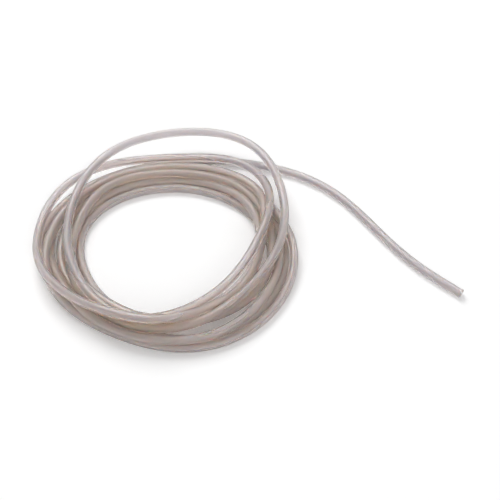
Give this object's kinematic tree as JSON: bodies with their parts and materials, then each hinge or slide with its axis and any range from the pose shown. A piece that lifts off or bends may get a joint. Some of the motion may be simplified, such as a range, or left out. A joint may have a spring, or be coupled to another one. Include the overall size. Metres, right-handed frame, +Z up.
{
  "type": "silicone tubing coil",
  "caption": "Length of soft translucent silicone tube wound into a flat loose coil, with one free end running out from behind it.",
  "frame": {"origin": "middle of the whole thing's box, on the surface that it lies on", "axes": "+Z up, +X towards the side where the free end runs out, +Y towards the back of the coil, where the free end leaves it"},
  "size_m": [0.1914, 0.135, 0.015],
  "materials": {
    "silicone": "translucent milky silicone rubber, smooth and softly glossy, warmer where many layers lie together"
  },
  "bodies": {
    "root": {"coil": "silicone", "top_turn": "silicone", "tail": "silicone"}
  },
  "joints": []
}
